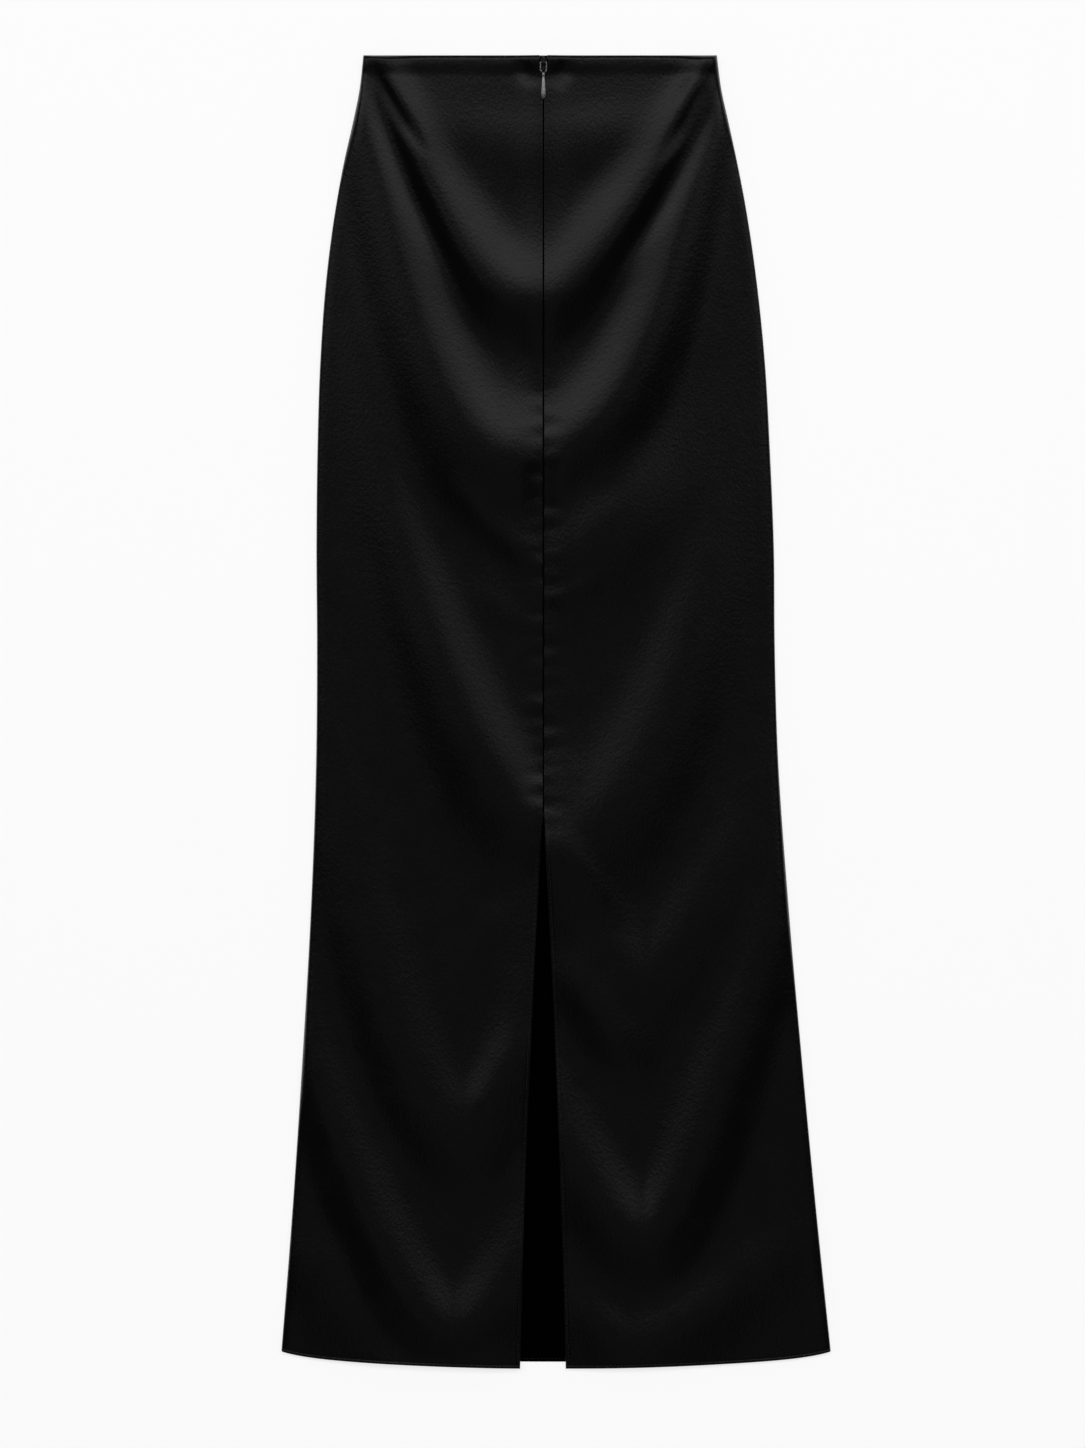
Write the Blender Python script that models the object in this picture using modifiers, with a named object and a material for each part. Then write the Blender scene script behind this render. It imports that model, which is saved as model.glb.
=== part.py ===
"""A long column skirt in satin, laid flat on its front with the back side up.

The back is cut in two halves that meet in a centre seam with a concealed zip at the
waist and an open slit at the hem. The front is one panel, which rests on the floor.
The cloth of the back lies in U-shaped folds that hang from the two ends of the waist.

Places on the cloth are given by two distances: `across`, from the centre back seam
towards a side seam, and `down`, from the waist edge towards the hem. The world frame
has +Y towards the waist, +X to the right and its origin under the middle of the skirt.
"""

import math
from typing import NamedTuple

import bmesh
import bpy
import numpy as np
from mathutils import Vector

COLLECTION_NAME = "column_skirt"
CUTTER_COLLECTION_NAME = "cutters"

LEFT = -1
RIGHT = 1

# ---------------------------------------------------------------- cloth, in metres

LENGTH = 1.116          # waist edge to the lowest point of the back hem
WALL = 0.0010           # thickness of a layer of cloth
GAP = 0.0003            # space between pieces that are sewn or laid together
FRONT_SHORTER = 0.0058  # how much higher the front hem ends than the back hem, at the centre


class Section(NamedTuple):
    """Distance of each side seam from the centre back seam, at one height."""

    down: float
    left: float
    right: float


OUTLINE = (
    Section(0.000, 0.1526, 0.1470),
    Section(0.030, 0.1560, 0.1510),
    Section(0.055, 0.1610, 0.1565),
    Section(0.090, 0.1689, 0.1641),
    Section(0.125, 0.1754, 0.1709),
    Section(0.190, 0.1841, 0.1806),
    Section(0.260, 0.1892, 0.1878),
    Section(0.340, 0.1917, 0.1923),
    Section(0.420, 0.1925, 0.1955),
    Section(0.500, 0.1920, 0.1962),
    Section(0.590, 0.1926, 0.1987),
    Section(0.720, 0.1969, 0.2077),
    Section(0.850, 0.2042, 0.2190),
    Section(0.975, 0.2124, 0.2308),
    Section(1.116, 0.2234, 0.2453),
)

HEM_SWEEP = 0.0105      # rise of the hem from the centre to the sides, spread over its width
HEM_CORNER_LIFT = 0.0043  # further rise close to the side seams
HEM_CORNER_POWER = 12

SLIT_TOP = 0.6456       # where the seam ends and the slit begins
SLIT_LEFT = 0.0196      # how far the left edge of the slit stands off at the hem
SLIT_RIGHT = 0.0188
SLIT_BOW_LEFT = 0.45    # how much the slit's edges bow, as a share of their offset
SLIT_BOW_RIGHT = 0.36

ZIP_PARTING = 0.0030    # how far each seam edge stands off around the slider
ZIP_PARTING_START = 0.0075
ZIP_PARTING_END = 0.0210

# ------------------------------------------------------- how high the cloth lies

EDGE_HEIGHT = 0.0025    # outer face of the back where it lies down on the front
SIDE_RISE = 0.0006      # the side seams lie a little higher, on the turned-up front
SIDE_RISE_REACH = 0.006
SIDE_ROLL = 0.010       # width over which the back rolls down to a side seam
FRONT_LIFT = 0.0009     # how far the front turns up at a side seam
FRONT_ROLL = 0.008
WAIST_ROLL = 0.004
LOFT = 0.0020           # air under the smooth parts of the back
WAIST_HOLD = 0.42       # share of the relief that is lost at the waist
WAIST_HOLD_REACH = 0.024
HEM_HOLD = 0.15
HEM_HOLD_REACH = 0.030
SEAM_HOLD = 0.20        # share of the relief that the centre seam pulls flat
SEAM_HOLD_REACH = 0.012
SLIT_HOLD = 0.20
SLIT_HOLD_REACH = 0.030
SLIT_HOLD_BAND = (0.620, 0.720)
SEAM_MATCH_REACH = 0.030    # width over which both halves come to one height at the seam
SEAM_MATCH_BAND = (0.610, 0.660)

ZIP_LENGTH = 0.240
ZIP_MOUND = 0.0021      # rise of the cloth over the zip
ZIP_MOUND_REACH = 0.016
ZIP_MOUND_FADE = 0.060
SLIDER_MOUND = 0.0009   # further rise over the slider, at the waist edge
SLIDER_MOUND_REACH = 0.010
SLIDER_HOLLOW = 0.0006  # dip of the cloth just below the slider
SLIDER_HOLLOW_DOWN = 0.019
SLIDER_HOLLOW_REACH = 0.007


FOLD_TIP = 0.026        # half width of the round bottom of every U
ARM_DROP = 0.50         # share of a fold's height that is lost where its arms have climbed
PINCH_BAND = (0.05, 1.15)   # climb of an arm over which its flanks grow narrow
DROP_BAND = (0.30, 1.10)    # climb of an arm over which it loses height
ARM_FADE = 0.40         # half the distance over which an arm dies out, as a share of its climb
RUNS_ON = 2.0           # climb of an arm that doesn't die out before the edge of the cloth
TO_CORNER = 0.143       # span of the arms that end near the corner of the waist


class Fold(NamedTuple):
    """One U-shaped fold, whose crest climbs on both sides of its lowest point."""

    side: int           # LEFT or RIGHT half of the back
    centre: float       # across, at the lowest point of the crest
    bottom: float       # down, at the lowest point of the crest
    inner_span: float   # across, towards the seam, to where the crest has climbed by rise
    outer_span: float   # the same towards the side
    rise: float
    power: float        # 2 is a parabola, more is rounder at the bottom
    height: float       # of the crest over the smooth cloth
    upper: float        # width of the flank inside the U
    lower: float        # width of the flank outside the U
    pinch: float        # share of both widths that is lost where the crest has climbed
    inner_end: float    # climb at which the arm dies out, where 1 is the whole rise
    outer_end: float


FOLDS = (
    Fold(LEFT, 0.000, 0.082, TO_CORNER, 0.130, 0.060, 1.50, 0.0016, 0.034, 0.030, 0.40, RUNS_ON, 0.60),
    Fold(LEFT, 0.000, 0.214, TO_CORNER, 0.130, 0.193, 2.10, 0.0084, 0.037, 0.028, 0.60, RUNS_ON, RUNS_ON),
    Fold(LEFT, 0.000, 0.348, TO_CORNER, 0.155, 0.314, 2.80, 0.0094, 0.042, 0.056, 0.50, RUNS_ON, RUNS_ON),
    Fold(LEFT, 0.000, 0.640, TO_CORNER, 0.131, 0.268, 1.80, 0.0060, 0.038, 0.050, 0.45, RUNS_ON, 1.35),
    Fold(LEFT, 0.064, 0.922, 0.110, 0.128, 0.330, 1.80, 0.0043, 0.044, 0.038, 0.25, RUNS_ON, 0.90),
    Fold(LEFT, 0.076, 1.088, 0.137, 0.124, 0.247, 1.60, 0.0066, 0.038, 0.030, 0.35, RUNS_ON, RUNS_ON),
    Fold(LEFT, 0.075, 1.146, 0.066, 0.082, 0.060, 2.10, 0.0050, 0.030, 0.036, 0.10, RUNS_ON, RUNS_ON),
    Fold(RIGHT, 0.000, 0.078, TO_CORNER, 0.125, 0.055, 1.50, 0.0022, 0.034, 0.030, 0.40, RUNS_ON, 0.60),
    Fold(RIGHT, 0.000, 0.200, TO_CORNER, 0.132, 0.185, 1.60, 0.0084, 0.036, 0.028, 0.58, RUNS_ON, RUNS_ON),
    Fold(RIGHT, 0.000, 0.328, TO_CORNER, 0.151, 0.320, 2.60, 0.0092, 0.038, 0.040, 0.50, RUNS_ON, RUNS_ON),
    Fold(RIGHT, 0.000, 0.428, TO_CORNER, 0.129, 0.120, 1.45, 0.0052, 0.034, 0.056, 0.20, RUNS_ON, 0.85),
    Fold(RIGHT, 0.000, 0.672, TO_CORNER, 0.158, 0.275, 2.30, 0.0056, 0.046, 0.054, 0.35, RUNS_ON, 1.10),
    Fold(RIGHT, 0.086, 0.783, 0.104, 0.086, 0.148, 1.40, 0.0036, 0.038, 0.046, 0.35, RUNS_ON, 1.20),
    Fold(RIGHT, 0.084, 1.003, 0.165, 0.113, 0.302, 1.35, 0.0061, 0.036, 0.040, 0.32, RUNS_ON, RUNS_ON),
    Fold(RIGHT, 0.076, 1.100, 0.058, 0.084, 0.060, 1.30, 0.0048, 0.030, 0.036, 0.10, RUNS_ON, 1.50),
)

# ---------------------------------------------------------------- the panels' grids

ROWS = 68
HEM_PASSES = 4          # passes that settle a point of the grid over the curved hem
WAIST_INSETS = (0.0, 0.0015, 0.0040, 0.0080, 0.0140)
HEM_INSETS = (0.0, 0.0030, 0.0090)
COLUMNS = 21
SEAM_INSETS = (0.0, 0.0030, 0.0110)
SIDE_INSETS = (0.0, 0.0025, 0.0060, 0.0110)
FRONT_INSETS = (0.0, 0.0025, 0.0080)

# ---------------------------------------------------------------- the zip, in metres

TAPE_WIDTH = 0.011
TAPE_THICKNESS = 0.0010
TAPE_TOP = 0.0015         # distance of the tape's end from the waist edge
TAPE_INSET = 0.0009       # distance of each tape from the centre, beside the slider's neck
TAPE_DROP = WALL + 2 * GAP
TAPE_INSETS = (0.0, 0.0040, TAPE_WIDTH)

PLATE_LENGTH = 0.0105     # slider plate, under the tapes
PLATE_WIDTH = 0.0070
PLATE_THICKNESS = 0.0015
PLATE_START = 0.0025
PLATE_BOTTOM = WALL + GAP
NECK_WIDTH = 0.0010
NECK_LENGTH = 0.0045
NECK_START = 0.0026
CROWN_WIDTH = 0.0030      # the bridge that holds the pull
CROWN_START = 0.0017
CROWN_END = 0.0075
CROWN_BOTTOM = 0.0059
CROWN_TOP = 0.0090
CROWN_BEVEL = 0.0006
POCKET_RADIUS = 0.0006    # hollow in the top of the bridge
POCKET_START = 0.0032
POCKET_END = 0.0042
POCKET_DEPTH = 0.0008

HINGE_DOWN = 0.0062
HINGE_HEIGHT = 0.0074
HINGE_BORE = 0.0010
EYE_WIRE = 0.00062        # half thickness of the eye
EYE_HALF_WIDTH = 0.0025
EYE_LENGTH = 0.0088       # hinge to the round end of the eye, along its middle line
EYE_CORNER = 0.0007
EYE_CORNER_STEPS = 3
EYE_ROUND_STEPS = 12
WIRE_RESOLUTION = 2
TAB_THINNING = 0.52       # thickness of the bead and tab, as a share of their width
TAB_STEPS = 16
ROD_SIDES = 20
BEVEL_SEGMENTS = 2
MERGE_DISTANCE = 1e-6


class Ring(NamedTuple):
    """Half width of the bead and tab at one distance from the hinge."""

    distance: float
    half_width: float


TAB_PROFILE = (
    Ring(0.0086, 0.0000),
    Ring(0.0090, 0.0008),
    Ring(0.0098, 0.00112),
    Ring(0.0110, 0.00112),
    Ring(0.0124, 0.0008),
    Ring(0.0132, 0.0009),
    Ring(0.0160, 0.0013),
    Ring(0.0200, 0.00165),
    Ring(0.0240, 0.00188),
    Ring(0.0272, 0.00190),
    Ring(0.0292, 0.00165),
    Ring(0.0304, 0.00110),
    Ring(0.0310, 0.0000),
)


class Finish(NamedTuple):
    """Looks of one material slot."""

    slot: str
    colour: tuple
    roughness: float
    metallic: float


SATIN = Finish("satin", (0.006, 0.006, 0.0065, 1.0), 0.38, 0.0)
WRONG_SIDE = Finish("satin_wrong_side", (0.004, 0.004, 0.004, 1.0), 0.75, 0.0)
TAPE = Finish("zip_tape", (0.008, 0.008, 0.008, 1.0), 0.80, 0.0)
SLIDER = Finish("zip_slider", (0.03, 0.03, 0.032, 1.0), 0.35, 1.0)
PULL = Finish("zip_pull", (0.32, 0.32, 0.33, 1.0), 0.25, 1.0)


# ---------------------------------------------------------------- shape of the skirt


def smooth_step(start, end, value):
    """Rise smoothly from 0 at start to 1 at end."""
    share = np.clip((value - start) / (end - start), 0.0, 1.0)
    return share * share * (3.0 - 2.0 * share)


def smooth_curve(places, values, at):
    """Read a smooth curve through the given points, as a chain of Hermite arcs."""
    places = np.asarray(places)
    values = np.asarray(values)
    slopes = np.gradient(values, places)
    index = np.clip(np.searchsorted(places, at, side="right") - 1, 0, len(places) - 2)
    step = places[index + 1] - places[index]
    t = (at - places[index]) / step
    start = values[index] * (1 + 2 * t) * (1 - t) ** 2
    end = values[index + 1] * t * t * (3 - 2 * t)
    start_slope = slopes[index] * step * t * (1 - t) ** 2
    end_slope = slopes[index + 1] * step * t * t * (t - 1)
    return start + end + start_slope + end_slope


def side_edge(side, down):
    """Distance of a side seam from the centre back seam."""
    places = [section.down for section in OUTLINE]
    if side == LEFT:
        values = [section.left for section in OUTLINE]
    else:
        values = [section.right for section in OUTLINE]
    return smooth_curve(places, values, down)


HEM_LEFT = OUTLINE[-1].left
HEM_RIGHT = OUTLINE[-1].right
MIDDLE = (HEM_RIGHT - HEM_LEFT) / 2     # the skirt's middle, right of the centre seam
HEM_HALF_WIDTH = (HEM_RIGHT + HEM_LEFT) / 2


def hem_rise(right_of_seam):
    """How much higher than its lowest point the hem ends, at a place across it."""
    reach = np.abs((right_of_seam - MIDDLE) / HEM_HALF_WIDTH)
    return HEM_SWEEP * reach ** 2 + HEM_CORNER_LIFT * reach ** HEM_CORNER_POWER


def back_hem(right_of_seam):
    return LENGTH - hem_rise(right_of_seam)


def front_hem(right_of_seam):
    """The front ends higher at the centre and meets the back hem at the side seams."""
    share = hem_rise(right_of_seam) / (HEM_SWEEP + HEM_CORNER_LIFT)
    return back_hem(right_of_seam) - FRONT_SHORTER * (1 - share)


def inner_edge(side, down):
    """Distance of a back half's inner edge from the centre: seam, slit and zip end."""
    reach = np.clip((down - SLIT_TOP) / (LENGTH - SLIT_TOP), 0.0, None)
    if side == LEFT:
        slit = SLIT_LEFT * (reach + SLIT_BOW_LEFT * reach * (1 - reach))
    else:
        slit = SLIT_RIGHT * (reach + SLIT_BOW_RIGHT * reach * (1 - reach))
    parting = ZIP_PARTING * (1 - smooth_step(ZIP_PARTING_START, ZIP_PARTING_END, down))
    return GAP / 2 + slit + parting


def fold_relief(fold, across, down):
    """Height of one fold over the smooth cloth."""
    away = across - fold.centre
    span = np.where(away < 0, fold.inner_span, fold.outer_span)
    end = np.where(away < 0, fold.inner_end, fold.outer_end)
    reach = np.hypot(away, FOLD_TIP)
    climb = (reach / span) ** fold.power - (FOLD_TIP / span) ** fold.power
    crest = fold.bottom - fold.rise * climb
    below = np.maximum(down - crest, 0.0)
    lean = np.abs(away) / np.hypot(reach, below)
    slope = fold.rise * fold.power * (reach / span) ** (fold.power - 1) / span * lean
    offset = (down - crest) / np.hypot(1, slope)
    climbed = np.maximum(fold.bottom - down, 0.0) / fold.rise
    along = np.hypot(away / span, climbed) / math.sqrt(2)
    width = np.where(offset < 0, fold.upper, fold.lower)
    width = width * (1 - fold.pinch * smooth_step(*PINCH_BAND, along))
    height = fold.height * (1 - ARM_DROP * smooth_step(*DROP_BAND, along))
    height = height * (1 - smooth_step(end - ARM_FADE, end + ARM_FADE, along))
    return height * np.exp(-(offset / width) ** 2)


def rolled(distance, width):
    """Quarter-round rise from 0 at an edge to 1 at a distance of width."""
    share = np.clip(distance / width, 0.0, 1.0)
    return np.sqrt(1 - (1 - share) ** 2)


def near(distance, reach):
    """Bell that is 1 at no distance and fades over the reach."""
    return np.exp(-(distance / reach) ** 2)


def zip_mound(across, down):
    """Rise of the cloth over the zip and its slider, with the dip below the slider."""
    along = 1 - smooth_step(ZIP_LENGTH, ZIP_LENGTH + ZIP_MOUND_FADE, down)
    slider = SLIDER_MOUND * near(down, SLIDER_MOUND_REACH)
    hollow = SLIDER_HOLLOW * near(down - SLIDER_HOLLOW_DOWN, SLIDER_HOLLOW_REACH)
    return (ZIP_MOUND * along + slider - hollow) * near(across, ZIP_MOUND_REACH)


def half_relief(side, across, down):
    """Folds of one back half."""
    return LOFT + sum(fold_relief(fold, across, down) for fold in FOLDS if fold.side == side)


def back_height(side, across, down):
    """Height of the outer face of the back over the floor."""
    relief = half_relief(side, across, down)
    step = half_relief(-side, 0.0, down) - half_relief(side, 0.0, down)
    sewn = 1 - smooth_step(*SEAM_MATCH_BAND, down)
    relief = relief + step / 2 * sewn * near(across, SEAM_MATCH_REACH)
    slit_share = smooth_step(*SLIT_HOLD_BAND, down)
    hold = SEAM_HOLD + (SLIT_HOLD - SEAM_HOLD) * slit_share
    reach = SEAM_HOLD_REACH + (SLIT_HOLD_REACH - SEAM_HOLD_REACH) * slit_share
    relief = relief * (1 - hold * near(across - inner_edge(side, down), reach))
    to_hem = back_hem(side * across) - down
    relief = relief * (1 - HEM_HOLD * near(to_hem, HEM_HOLD_REACH))
    relief = relief * (1 - WAIST_HOLD * near(down, WAIST_HOLD_REACH)) * rolled(down, WAIST_ROLL)
    to_side = side_edge(side, down) - across
    relief = relief * rolled(to_side, SIDE_ROLL)
    side_rise = SIDE_RISE * near(to_side, SIDE_RISE_REACH)
    return EDGE_HEIGHT + relief + side_rise + zip_mound(across, down)


def front_height(to_side):
    """Height of the under face of the front, which turns up at the side seams."""
    return FRONT_LIFT * (1 - rolled(to_side, FRONT_ROLL))


# ---------------------------------------------------------------- making pieces


def clear_scene():
    for obj in list(bpy.data.objects):
        bpy.data.objects.remove(obj, do_unlink=True)


def new_collection(name):
    collection = bpy.data.collections.new(name)
    bpy.context.scene.collection.children.link(collection)
    return collection


def make_material(finish):
    material = bpy.data.materials.new(finish.slot)
    material.use_nodes = True
    shader = material.node_tree.nodes["Principled BSDF"]
    shader.inputs["Base Color"].default_value = finish.colour
    shader.inputs["Roughness"].default_value = finish.roughness
    shader.inputs["Metallic"].default_value = finish.metallic
    return material


def world_point(right_of_seam, down, height):
    """Turn a place on the cloth into a point of the world frame."""
    return Vector((right_of_seam - MIDDLE, LENGTH / 2 - down, height))


def spaced(total, start_insets, end_insets, steps):
    """Places from 0 to total: fixed ones near both ends and even steps between them."""
    first = list(start_insets)
    last = [total - inset for inset in reversed(end_insets)]
    even_steps = steps - len(first) - len(last) + 2
    middle = np.linspace(first[-1], last[0], even_steps + 1)[1:-1]
    return np.array(first + list(middle) + last)


def cloth_sheet(name, rows, columns, place, normal_up, thickness, collection, material):
    """Make a wall of cloth: a grid moved onto the outer face, then given its thickness."""
    bm = bmesh.new()
    bmesh.ops.create_grid(bm, x_segments=columns, y_segments=rows, size=0.5)
    for vertex in bm.verts:
        column = round((vertex.co.x + 0.5) * columns)
        row = round((0.5 - vertex.co.y) * rows)
        vertex.co = place(column, row)
    bmesh.ops.recalc_face_normals(bm, faces=bm.faces)
    bm.faces.ensure_lookup_table()
    if (bm.faces[0].normal.z > 0) != normal_up:
        bmesh.ops.reverse_faces(bm, faces=bm.faces)
    mesh = bpy.data.meshes.new(name)
    bm.to_mesh(mesh)
    bm.free()
    mesh.shade_smooth()
    mesh.materials.append(material)
    sheet = bpy.data.objects.new(name, mesh)
    collection.objects.link(sheet)
    wall = sheet.modifiers.new("wall", "SOLIDIFY")
    wall.thickness = thickness
    wall.offset = -1.0
    wall.use_even_offset = True
    return sheet


DOWN_SHARES = spaced(LENGTH, WAIST_INSETS, HEM_INSETS, ROWS) / LENGTH


def back_place(side, column, row):
    """Point of the outer face of a back half at one crossing of its grid."""
    share = DOWN_SHARES[row]
    down = share * LENGTH
    across = 0.0
    for _ in range(HEM_PASSES):
        inner = float(inner_edge(side, down))
        width = float(side_edge(side, down)) - inner
        across = inner + spaced(width, SEAM_INSETS, SIDE_INSETS, COLUMNS)[column]
        down = share * float(back_hem(side * across))
    return across, down


def make_back_half(name, side, collection, material):
    def place(column, row):
        across, down = back_place(side, column, row)
        return world_point(side * across, down, float(back_height(side, across, down)))

    return cloth_sheet(name, ROWS, COLUMNS, place, True, WALL, collection, material)


def make_front(collection, material):
    columns = 2 * len(FRONT_INSETS) - 1

    def place(column, row):
        share = DOWN_SHARES[row]
        down = share * LENGTH
        right_of_seam = 0.0
        for _ in range(HEM_PASSES):
            left = float(side_edge(LEFT, down))
            right = float(side_edge(RIGHT, down))
            places = spaced(left + right, FRONT_INSETS, FRONT_INSETS, columns)
            right_of_seam = places[column] - left
            down = share * float(front_hem(right_of_seam))
        to_side = min(right - right_of_seam, left + right_of_seam)
        return world_point(right_of_seam, down, float(front_height(to_side)))

    return cloth_sheet("front_panel", ROWS, columns, place, False, WALL, collection, material)


def make_tape(name, side, collection, material):
    """Half of the zip's tape, which follows the under face of a back half."""
    rows = [row for row in range(ROWS + 1) if TAPE_TOP < DOWN_SHARES[row] * LENGTH < ZIP_LENGTH]

    def place(column, row):
        _, down = back_place(side, 0, rows[row])
        across = TAPE_INSET + TAPE_INSETS[column]
        height = float(back_height(side, across, down)) - TAPE_DROP
        return world_point(side * across, down, height)

    columns = len(TAPE_INSETS) - 1
    return cloth_sheet(
        name, len(rows) - 1, columns, place, True, TAPE_THICKNESS, collection, material
    )


def add_box(name, low, high, collection, material=None, bevel=0.0):
    """Box between two corners, with its edges rounded when a bevel is given."""
    low = Vector(low)
    high = Vector(high)
    bm = bmesh.new()
    bmesh.ops.create_cube(bm, size=1.0)
    bmesh.ops.scale(bm, vec=high - low, verts=bm.verts)
    bmesh.ops.translate(bm, vec=(low + high) / 2, verts=bm.verts)
    if bevel:
        bmesh.ops.bevel(
            bm,
            geom=bm.edges,
            offset=bevel,
            segments=BEVEL_SEGMENTS,
            profile=0.5,
            affect="EDGES",
            material=-1,
        )
    mesh = bpy.data.meshes.new(name)
    bm.to_mesh(mesh)
    bm.free()
    if material:
        mesh.materials.append(material)
    box = bpy.data.objects.new(name, mesh)
    collection.objects.link(box)
    return box


def add_rod(name, centre, radius, length, axis, collection):
    """Round rod with its middle at a point and its length along an axis."""
    bm = bmesh.new()
    bmesh.ops.create_cone(
        bm, cap_ends=True, segments=ROD_SIDES, radius1=radius, radius2=radius, depth=length
    )
    turn = Vector((0, 0, 1)).rotation_difference(Vector(axis)).to_matrix()
    bmesh.ops.rotate(bm, cent=(0, 0, 0), matrix=turn, verts=bm.verts)
    bmesh.ops.translate(bm, vec=centre, verts=bm.verts)
    mesh = bpy.data.meshes.new(name)
    bm.to_mesh(mesh)
    bm.free()
    rod = bpy.data.objects.new(name, mesh)
    collection.objects.link(rod)
    return rod


def add_boolean(target, cutter, operation, cutters):
    """Join or cut the target with another object, which is kept as a guide."""
    modifier = target.modifiers.new(cutter.name, "BOOLEAN")
    modifier.operation = operation
    modifier.object = cutter
    cutter.hide_render = True
    cutter.display_type = "WIRE"
    for collection in list(cutter.users_collection):
        collection.objects.unlink(cutter)
    cutters.objects.link(cutter)


def make_slider(collection, cutters, material):
    """Slider: a plate under the tapes, a neck between them and a bridge on top."""
    plate = add_box(
        "zip_slider",
        world_point(-PLATE_WIDTH / 2, PLATE_START + PLATE_LENGTH, PLATE_BOTTOM),
        world_point(PLATE_WIDTH / 2, PLATE_START, PLATE_BOTTOM + PLATE_THICKNESS),
        collection,
        material,
        bevel=PLATE_THICKNESS / 5,
    )
    neck = add_box(
        "slider_neck",
        world_point(-NECK_WIDTH / 2, NECK_START + NECK_LENGTH, PLATE_BOTTOM + PLATE_THICKNESS / 2),
        world_point(NECK_WIDTH / 2, NECK_START, CROWN_BOTTOM + CROWN_BEVEL),
        collection,
    )
    crown = add_box(
        "slider_crown",
        world_point(-CROWN_WIDTH / 2, CROWN_END, CROWN_BOTTOM),
        world_point(CROWN_WIDTH / 2, CROWN_START, CROWN_TOP),
        collection,
        bevel=CROWN_BEVEL,
    )
    add_boolean(plate, neck, "UNION", cutters)
    add_boolean(plate, crown, "UNION", cutters)
    bore = add_rod(
        "hinge_bore",
        world_point(0, HINGE_DOWN, HINGE_HEIGHT),
        HINGE_BORE,
        CROWN_WIDTH * 2,
        (1, 0, 0),
        collection,
    )
    add_boolean(plate, bore, "DIFFERENCE", cutters)
    pocket = add_box(
        "crown_pocket",
        world_point(-POCKET_RADIUS, POCKET_END, CROWN_TOP - POCKET_DEPTH),
        world_point(POCKET_RADIUS, POCKET_START, CROWN_TOP + POCKET_DEPTH),
        collection,
    )
    add_boolean(plate, pocket, "DIFFERENCE", cutters)
    return plate


def arc(across, along, radius, start, end, steps):
    """Points of an arc around a centre, between two angles in degrees."""
    angles = [math.radians(start + (end - start) * step / steps) for step in range(steps + 1)]
    return [(across + radius * math.cos(a), along + radius * math.sin(a)) for a in angles]


def eye_path():
    """Middle line of the eye around the hinge, in a plane: (across, along) pairs."""
    corner = EYE_HALF_WIDTH - EYE_CORNER
    right_corner = arc(corner, EYE_CORNER, EYE_CORNER, -90, 0, EYE_CORNER_STEPS)
    round_end = arc(0, EYE_LENGTH - EYE_HALF_WIDTH, EYE_HALF_WIDTH, 0, 180, EYE_ROUND_STEPS)
    left_corner = arc(-corner, EYE_CORNER, EYE_CORNER, 180, 270, EYE_CORNER_STEPS)
    return right_corner + round_end + left_corner


def make_pull(collection, cutters, material):
    """Pull: a wire eye through the bridge, with a bead and a drop-shaped tab."""
    curve = bpy.data.curves.new("eye_wire", "CURVE")
    curve.dimensions = "3D"
    curve.bevel_depth = EYE_WIRE
    curve.bevel_resolution = WIRE_RESOLUTION
    spline = curve.splines.new("POLY")
    points = eye_path()
    spline.points.add(len(points) - 1)
    for point, (across, along) in zip(spline.points, points):
        point.co = (across, -along, 0.0, 1.0)
    spline.use_cyclic_u = True
    wire = bpy.data.objects.new("eye_wire", curve)
    collection.objects.link(wire)
    bpy.context.view_layer.update()
    graph = bpy.context.evaluated_depsgraph_get()
    mesh = bpy.data.meshes.new_from_object(wire.evaluated_get(graph))
    bpy.data.objects.remove(wire, do_unlink=True)
    mesh.name = "zip_pull"
    mesh.materials.clear()
    mesh.materials.append(material)
    pull = bpy.data.objects.new("zip_pull", mesh)
    collection.objects.link(pull)
    pull.location = world_point(0, HINGE_DOWN, HINGE_HEIGHT)
    tab = make_tab(collection)
    tab.location = pull.location
    add_boolean(pull, tab, "UNION", cutters)
    return pull


def make_tab(collection):
    """Bead and tab, turned about their length and flattened."""
    bm = bmesh.new()
    profile = [bm.verts.new((ring.half_width, -ring.distance, 0.0)) for ring in TAB_PROFILE]
    edges = [bm.edges.new(pair) for pair in zip(profile, profile[1:])]
    bmesh.ops.spin(
        bm,
        geom=profile + edges,
        cent=(0, 0, 0),
        axis=(0, 1, 0),
        angle=math.tau,
        steps=TAB_STEPS,
        use_merge=True,
    )
    bmesh.ops.remove_doubles(bm, verts=bm.verts, dist=MERGE_DISTANCE)
    bmesh.ops.scale(bm, vec=(1, 1, TAB_THINNING), verts=bm.verts)
    bmesh.ops.recalc_face_normals(bm, faces=bm.faces)
    mesh = bpy.data.meshes.new("pull_tab")
    bm.to_mesh(mesh)
    bm.free()
    mesh.shade_smooth()
    tab = bpy.data.objects.new("pull_tab", mesh)
    collection.objects.link(tab)
    return tab


def main():
    clear_scene()
    collection = new_collection(COLLECTION_NAME)
    cutters = new_collection(CUTTER_COLLECTION_NAME)
    satin = make_material(SATIN)
    make_front(collection, make_material(WRONG_SIDE))
    make_back_half("back_panel_left", LEFT, collection, satin)
    make_back_half("back_panel_right", RIGHT, collection, satin)
    tape = make_material(TAPE)
    make_tape("zip_tape_left", LEFT, collection, tape)
    make_tape("zip_tape_right", RIGHT, collection, tape)
    make_slider(collection, cutters, make_material(SLIDER))
    make_pull(collection, cutters, make_material(PULL))


main()
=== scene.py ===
# %% [markdown]
# # A long column skirt in black satin, laid flat with its back up
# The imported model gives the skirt's true sizes. This script dresses it: finer cloth on the
# same form, stitching, a polished pull, finishes, a floor, light and a camera.

# %% Load the frame
import math
from typing import NamedTuple

import bmesh
import bpy
import numpy as np
from mathutils import Matrix, Vector


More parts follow.
